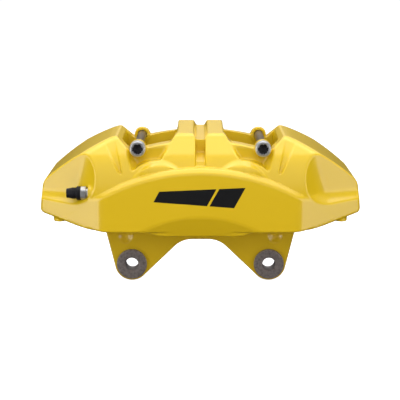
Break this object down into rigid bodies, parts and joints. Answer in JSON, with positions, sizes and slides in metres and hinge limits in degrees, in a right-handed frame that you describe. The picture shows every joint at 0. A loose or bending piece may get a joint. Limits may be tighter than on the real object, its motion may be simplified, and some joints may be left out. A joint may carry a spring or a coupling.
{
  "type": "brake caliper",
  "caption": "Fixed opposed-piston brake caliper, cast in one piece around the disc, with mounting lugs, pad pins, dust boots and capped bleed screws.",
  "frame": {"origin": "midway between the two lug bores, on the machined outboard faces of the lug bushes", "axes": "+X along the caliper, from its leading to its trailing end; +Y inboard, along the disc's axis; +Z away from the disc's axis"},
  "size_m": [0.282, 0.1435, 0.1507],
  "materials": {
    "yellow_casting": "gloss yellow paint over a cast aluminium body",
    "machined_steel": "turned face, dull",
    "anodised_piston": "hard anodised",
    "zinc_steel": "zinc plated",
    "black_rubber": "matt",
    "cap_rubber": "satin"
  },
  "bodies": {
    "casting": {"caliper_body": "yellow_casting", "lug_bush_left": "machined_steel", "lug_bush_right": "machined_steel", "seal_outboard_leading": "black_rubber", "seal_outboard_trailing": "black_rubber", "seal_inboard_leading": "black_rubber", "seal_inboard_trailing": "black_rubber", "boot_outboard_leading": "black_rubber", "boot_outboard_trailing": "black_rubber", "boot_inboard_leading": "black_rubber", "boot_inboard_trailing": "black_rubber", "passage_plug_left": "zinc_steel", "passage_plug_right": "zinc_steel"},
    "outboard_leading_piston": {"piston_outboard_leading": "anodised_piston"},
    "outboard_trailing_piston": {"piston_outboard_trailing": "anodised_piston"},
    "inboard_leading_piston": {"piston_inboard_leading": "anodised_piston"},
    "inboard_trailing_piston": {"piston_inboard_trailing": "anodised_piston"},
    "left_pad_pin": {"pad_pin_left": "zinc_steel"},
    "right_pad_pin": {"pad_pin_right": "zinc_steel"},
    "outboard_bleed_screw": {"bleed_screw_outboard": "zinc_steel"},
    "outboard_bleed_cap": {"bleed_cap_outboard": "cap_rubber"},
    "inboard_bleed_screw": {"bleed_screw_inboard": "zinc_steel"},
    "inboard_bleed_cap": {"bleed_cap_inboard": "cap_rubber"}
  },
  "joints": [
    {"name": "outboard_leading_piston_slide", "type": "slide", "parent": "casting", "child": "outboard_leading_piston", "axis": [0, 1, 0], "range_m": [0, 0.013], "deforming": ["boot_outboard_leading"]},
    {"name": "outboard_trailing_piston_slide", "type": "slide", "parent": "casting", "child": "outboard_trailing_piston", "axis": [0, 1, 0], "range_m": [0, 0.013], "deforming": ["boot_outboard_trailing"]},
    {"name": "inboard_leading_piston_slide", "type": "slide", "parent": "casting", "child": "inboard_leading_piston", "axis": [0, -1, 0], "range_m": [0, 0.013], "deforming": ["boot_inboard_leading"]},
    {"name": "inboard_trailing_piston_slide", "type": "slide", "parent": "casting", "child": "inboard_trailing_piston", "axis": [0, -1, 0], "range_m": [0, 0.013], "deforming": ["boot_inboard_trailing"]},
    {"name": "left_pad_pin_withdrawal", "type": "slide", "parent": "casting", "child": "left_pad_pin", "axis": [0, -1, 0], "range_m": [0, 0.1]},
    {"name": "right_pad_pin_withdrawal", "type": "slide", "parent": "casting", "child": "right_pad_pin", "axis": [0, -1, 0], "range_m": [0, 0.1]},
    {"name": "outboard_bleed_screw_turn", "type": "hinge", "parent": "casting", "child": "outboard_bleed_screw", "pos_m": [-0.097, -0.086, 0.085], "axis": [-1, 0, 0], "range_deg": [0, 180]},
    {"name": "outboard_bleed_cap_pull", "type": "slide", "parent": "outboard_bleed_screw", "child": "outboard_bleed_cap", "axis": [-1, 0, 0], "range_m": [0, 0.015]},
    {"name": "inboard_bleed_screw_turn", "type": "hinge", "parent": "casting", "child": "inboard_bleed_screw", "pos_m": [-0.097, 0.034, 0.085], "axis": [-1, 0, 0], "range_deg": [0, 180]},
    {"name": "inboard_bleed_cap_pull", "type": "slide", "parent": "inboard_bleed_screw", "child": "inboard_bleed_cap", "axis": [-1, 0, 0], "range_m": [0, 0.015]}
  ],
  "couplings": [
    {"joint": "outboard_trailing_piston_slide", "follows": "outboard_leading_piston_slide", "ratio": 1},
    {"joint": "inboard_leading_piston_slide", "follows": "outboard_leading_piston_slide", "ratio": 1},
    {"joint": "inboard_trailing_piston_slide", "follows": "outboard_leading_piston_slide", "ratio": 1}
  ]
}
